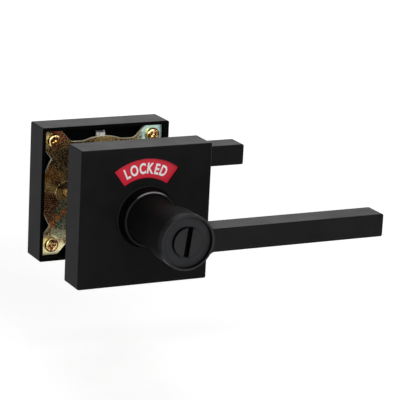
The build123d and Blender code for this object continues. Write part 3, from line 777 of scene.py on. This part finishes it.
# Dial: a thin steel disc behind the window. Its front is printed with a red and a
# green field, each with its word in white along the arc, and its back is bare zinc.
# The lock shaft's pin turns it.
FIELD_RED = (0.700, 0.016, 0.042, 1)
FIELD_GREEN = (0.012, 0.260, 0.070, 1)
FIELD_WORN = (0.05, 0.02, 0.02, 1)
FIELD_BARE = (0.55, 0.55, 0.53, 1)
FIELD_GLOSS = 0.35
FIELD_ROUGH = (0.34, 0.44)
FIELD_GRAIN = 1500.0
FIELD_CLOUDS = 150.0
FIELD_RELIEF = (0.05, 0.00003)
FIELD_WEAR = 0.10
PRINT_DEPTH = 0.0002
FIELD_BORDER = math.radians(-45.0)
WORD_TONES = ((0.84, 0.84, 0.84, 1), (0.93, 0.93, 0.93, 1))
WORD_ROUGH = (0.36, 0.46)
WORD_GRAIN = (1500.0, 0.05, 0.00002)
WORD_CLOUDS = 200.0
WORD_RADIUS = 0.0205
WORD_HEIGHT = 0.0052
WORD_NARROW = 0.70
WORD_BOLD = 0.030
WORD_THICKNESS = 0.00004
LETTER_EXTRUDE = 0.01
LETTER_GAP = 0.00075
dial_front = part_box("indicator_dial")[0][1]


def printed_fields():
    """Red about the top, and green a quarter turn round towards -X."""
    material, tree, shader = finish_of("printed_fields", Specular_IOR_Level=FIELD_GLOSS)
    made = put(tree, "ShaderNodeGroup", {"node_tree": grain})
    made.inputs["Grain Scale"].default_value = FIELD_GRAIN
    made.inputs["Cloud Scale"].default_value = FIELD_CLOUDS
    split = put(tree, "ShaderNodeSeparateXYZ")
    tree.links.new(put(tree, "ShaderNodeTexCoord").outputs["Object"], split.inputs["Vector"])
    angle = math_node(tree, "ARCTAN2", split.outputs["X"], split.outputs["Z"])
    field = mixed(tree, math_node(tree, "GREATER_THAN", angle, FIELD_BORDER), FIELD_GREEN, FIELD_RED)
    worn = mixed(tree, ramp(tree, made.outputs["Clouds"], 0.0, FIELD_WEAR), field, FIELD_WORN)
    printed = band(tree, {"Height": (-dial_front - PRINT_DEPTH, FAR)})
    tree.links.new(mixed(tree, printed, FIELD_BARE, worn), shader.inputs["Base Color"])
    tree.links.new(math_node(tree, "SUBTRACT", 1.0, printed), shader.inputs["Metallic"])
    tree.links.new(ramp(tree, made.outputs["Clouds"], *FIELD_ROUGH), shader.inputs["Roughness"])
    tree.links.new(bumped(tree, made.outputs["Height"], *FIELD_RELIEF), shader.inputs["Normal"])
    return material


dress(printed_fields(), "indicator_dial")
white_print = satin("white_print", WORD_TONES, WORD_ROUGH, WORD_GRAIN, WORD_CLOUDS)


def letter_solid(letter):
    """One letter as a thin solid, lying in X and Y."""
    text = bpy.data.curves.new("letter", "FONT")
    text.body = letter
    text.offset = WORD_BOLD
    text.extrude = LETTER_EXTRUDE
    holder = new_object("letter", text)
    work = bmesh.new()
    work.from_mesh(plain_mesh(holder, "letter"))
    bpy.data.objects.remove(holder)
    bmesh.ops.remove_doubles(work, verts=work.verts, dist=MERGE_GAP)
    return work


def printed_word(name, word, middle):
    """A word along the arc: each letter stands square to the arc's radius."""
    letters = [letter_solid(letter) for letter in word]
    heights = [corner.co.y for corner in letters[0].verts]
    scale = WORD_HEIGHT / (max(heights) - min(heights))
    narrow = scale * WORD_NARROW
    spans = []
    for letter in letters:
        across = [corner.co.x * narrow for corner in letter.verts]
        spans.append((min(across), max(across)))
    along = -(sum(high - low for low, high in spans) + LETTER_GAP * (len(word) - 1)) / 2
    meshes = []
    for letter, (low, high) in zip(letters, spans):
        centre = (low + high) / 2
        turn = middle + (along + centre - low) / (WORD_RADIUS + WORD_HEIGHT / 2)
        along += high - low + LETTER_GAP
        for corner in letter.verts:
            across = corner.co.x * narrow - centre
            up = corner.co.y * scale + WORD_RADIUS
            deep = dial_front + (-WORD_THICKNESS if corner.co.z > 0 else WORD_THICKNESS)
            x = across * math.cos(turn) + up * math.sin(turn)
            corner.co = (x, deep, up * math.cos(turn) - across * math.sin(turn))
        meshes.append(mesh_of(letter, "letter"))
    made = new_object(name, joined(name, meshes))
    made.data.materials.append(white_print)
    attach(made, "dial_set")


printed_word("word_locked", "LOCKED", 0.0)
printed_word("word_open", "OPEN", -math.pi / 2)


# Levers: neck, round head and square bar arm in one zinc casting, with the same
# powder coat as the roses, a little paler here. The neck and the flank of the head
# are painted darker as shade and are duller, the dish is painted deep black as shade,
# and the rim of the head carries a painted highlight.
LEVER_TONES = ((0.0120, 0.0120, 0.0121, 1), (0.0160, 0.0160, 0.0161, 1))
# Painted highlight on the rim of the head.
RIM_PAINTED_HIGHLIGHT = (0.034, 0.034, 0.034, 1)
RIM_DEPTH = 0.0007
RIM_RADII = (0.0121, 0.01316)
DISH_DEPTH = 0.0060
DISH_RADII = (0.0110, 0.0121)
# Painted shade on the neck and the flank of the head.
NECK_PAINTED_SHADE = (0.0036, 0.0036, 0.0036, 1)
NECK_DULL = 0.60
NECK_TOP = 0.0582
NECK_RADIUS = 0.0135
NECK_FADE = 0.0014

head_front = -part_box("outside_lever")[0][1]
lever_coat_painted_light = satin(
    "lever_coat_painted_light", LEVER_TONES, COAT_ROUGH, COAT_GRAIN, COAT_CLOUDS, IOR=COAT_IOR,
    bands=(
        # Painted shade on the neck and in the dish, and a painted highlight on the rim.
        (NECK_PAINTED_SHADE, NECK_DULL, {"Height": (-FAR, NECK_TOP), "Radius": (-FAR, NECK_RADIUS)}, NECK_FADE),
        (RIM_PAINTED_HIGHLIGHT, OWN_GLOSS, {"Height": (head_front - RIM_DEPTH, FAR), "Radius": RIM_RADII}),
        (COAT_PAINTED_SHADE, OWN_GLOSS, {
            "Height": (head_front - DISH_DEPTH, head_front - RIM_DEPTH), "Radius": DISH_RADII,
        }),
    ),
)
dress(lever_coat_painted_light, "outside_lever", "inside_lever")


# Cap discs: turned discs, coated in a satin dark grey and pressed into the heads,
# which they close round the turns.
CAP_TONES = ((0.0190, 0.0196, 0.0215, 1), (0.0255, 0.0262, 0.0285, 1))
CAP_IOR = 1.20
CAP_ROUGH = (0.36, 0.44)
CAP_GRAIN = (2400.0, 0.08, 0.00003)
CAP_CLOUDS = 110.0

satin_grey = satin("satin_grey", CAP_TONES, CAP_ROUGH, CAP_GRAIN, CAP_CLOUDS, IOR=CAP_IOR)
dress(satin_grey, "outside_cap_disc", "inside_cap_disc")


# Turns: black cast turns on the shaft's tangs, one with a coin slot and one with
# a wing. Their fronts keep a slightly paler tone, and their sides and the slot are
# painted deep black as shade.
TURN_TONES = ((0.0270, 0.0270, 0.0273, 1), (0.0330, 0.0330, 0.0333, 1))
TURN_IOR = 1.12
TURN_ROUGH = (0.34, 0.44)
TURN_GRAIN = (2400.0, 0.08, 0.00003)
TURN_CLOUDS = 140.0
# Painted shade on the sides and in the slot.
TURN_PAINTED_SHADE = (0.0006, 0.0006, 0.0006, 1)
TURN_EDGE = 0.00025

turn_front = -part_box("coin_turn")[0][1]
satin_turn = satin(
    "satin_turn", TURN_TONES, TURN_ROUGH, TURN_GRAIN, TURN_CLOUDS, IOR=TURN_IOR,
    # Painted shade below the front face.
    bands=((TURN_PAINTED_SHADE, OWN_GLOSS, {"Height": (-FAR, turn_front - TURN_EDGE)}),),
)
dress(satin_turn, "coin_turn", "thumb_turn")


# Studio: a white floor, low enough for the arms to turn down, a broad soft light
# above and behind, and softer ones in front and at both sides. The camera looks
# down a little on the outside half from its left.
FLOOR_DROP = 0.045
FLOOR_SIZE = 6.0
FLOOR_COLOUR = (0.90, 0.90, 0.90, 1)
FLOOR_ROUGH = 0.9
FLOOR_FILL = 0.60
FLOOR_FAR_FILL = 0.97
FLOOR_NEAR_RADIUS = 0.45
FLOOR_FAR_RADIUS = 1.50
SKY_FILL = 0.10
CAMERA_AZIMUTH = math.radians(-27.033)
CAMERA_ELEVATION = math.radians(15.073)
CAMERA_ROLL = math.radians(2.858)
CAMERA_DISTANCE = 0.965
CAMERA_TARGET = Vector((0.03629, 0.0, 0.0010))
CAMERA_LENS = 179.96
# Each row: name, place, side of the lamp and watts.
LIGHTS = (
    ("light_above", (0.35, 1.05, 0.87), 1.2, 7.4),
    ("light_front", (0.05, -0.65, 0.35), 0.4, 1.9),
    ("light_left", (-0.40, -0.64, 0.20), 0.3, 1.4),
    ("light_right", (0.90, -0.40, 0.35), 0.5, 0.8),
)


def seen_directly(tree):
    """A mask for what the camera, gloss and glass see."""
    rays = put(tree, "ShaderNodeLightPath").outputs
    plain = math_node(tree, "ADD", rays["Is Camera Ray"], rays["Is Transmission Ray"])
    return math_node(tree, "ADD", plain, rays["Is Glossy Ray"])


def white_floor():
    """A plain floor that is white to the camera and keeps a soft shadow near the object."""
    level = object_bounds()[0][2] - FLOOR_DROP
    half = FLOOR_SIZE / 2
    corners = [(x, y, level) for x, y in ((-half, -half), (half, -half), (half, half), (-half, half))]
    mesh = bpy.data.meshes.new("floor")
    mesh.from_pydata(corners, [], [(0, 1, 2, 3)])
    material, tree, shader = finish_of(
        "floor_white", Base_Color=FLOOR_COLOUR, Roughness=FLOOR_ROUGH, Specular_IOR_Level=0.0
    )
    shader.inputs["Emission Color"].default_value = (1, 1, 1, 1)
    away = put(tree, "ShaderNodeVectorMath", {"operation": "LENGTH"})
    tree.links.new(put(tree, "ShaderNodeTexCoord").outputs["Object"], away.inputs[0])
    fill = ramp(
        tree, away.outputs["Value"], FLOOR_FILL, FLOOR_FAR_FILL, FLOOR_NEAR_RADIUS, FLOOR_FAR_RADIUS
    )
    strength = math_node(tree, "MULTIPLY", seen_directly(tree), fill)
    tree.links.new(strength, shader.inputs["Emission Strength"])
    mesh.materials.append(material)
    new_object("floor", mesh)


def white_sky():
    """White to the camera and in gloss, and a weak fill on everything else."""
    world = bpy.data.worlds.new("studio")
    bpy.context.scene.world = world
    world.use_nodes = True
    tree = world.node_tree
    background = tree.nodes["Background"]
    background.inputs["Color"].default_value = (1, 1, 1, 1)
    level = ramp(tree, seen_directly(tree), SKY_FILL, 1.0, 0.0, 1.0)
    tree.links.new(level, background.inputs["Strength"])


def soft_light(name, place, size, watts):
    """A square lamp that faces the origin."""
    lamp = bpy.data.lights.new(name, "AREA")
    lamp.size = size
    lamp.energy = watts
    holder = new_object(name, lamp)
    holder.location = place
    holder.rotation_euler = Vector(place).to_track_quat("Z", "Y").to_euler()


def photo_camera():
    """The camera at the photo's angle, rolled as the photo is."""
    level = math.cos(CAMERA_ELEVATION)
    away = (math.sin(CAMERA_AZIMUTH) * level, -math.cos(CAMERA_AZIMUTH) * level, math.sin(CAMERA_ELEVATION))
    back = Vector(away)
    right = Vector((0, 0, 1)).cross(back).normalized()
    up = back.cross(right)
    side = right * math.cos(CAMERA_ROLL) + up * math.sin(CAMERA_ROLL)
    top = up * math.cos(CAMERA_ROLL) - right * math.sin(CAMERA_ROLL)
    turn = Matrix((side, top, back)).transposed().to_4x4()
    data = bpy.data.cameras.new("camera")
    data.lens = CAMERA_LENS
    data.sensor_fit = "HORIZONTAL"
    holder = new_object("camera", data)
    holder.matrix_world = Matrix.Translation(CAMERA_TARGET + back * CAMERA_DISTANCE) @ turn
    bpy.context.scene.camera = holder


white_floor()
white_sky()
for light in LIGHTS:
    soft_light(*light)
photo_camera()
bpy.context.scene.view_settings.view_transform = "Standard"
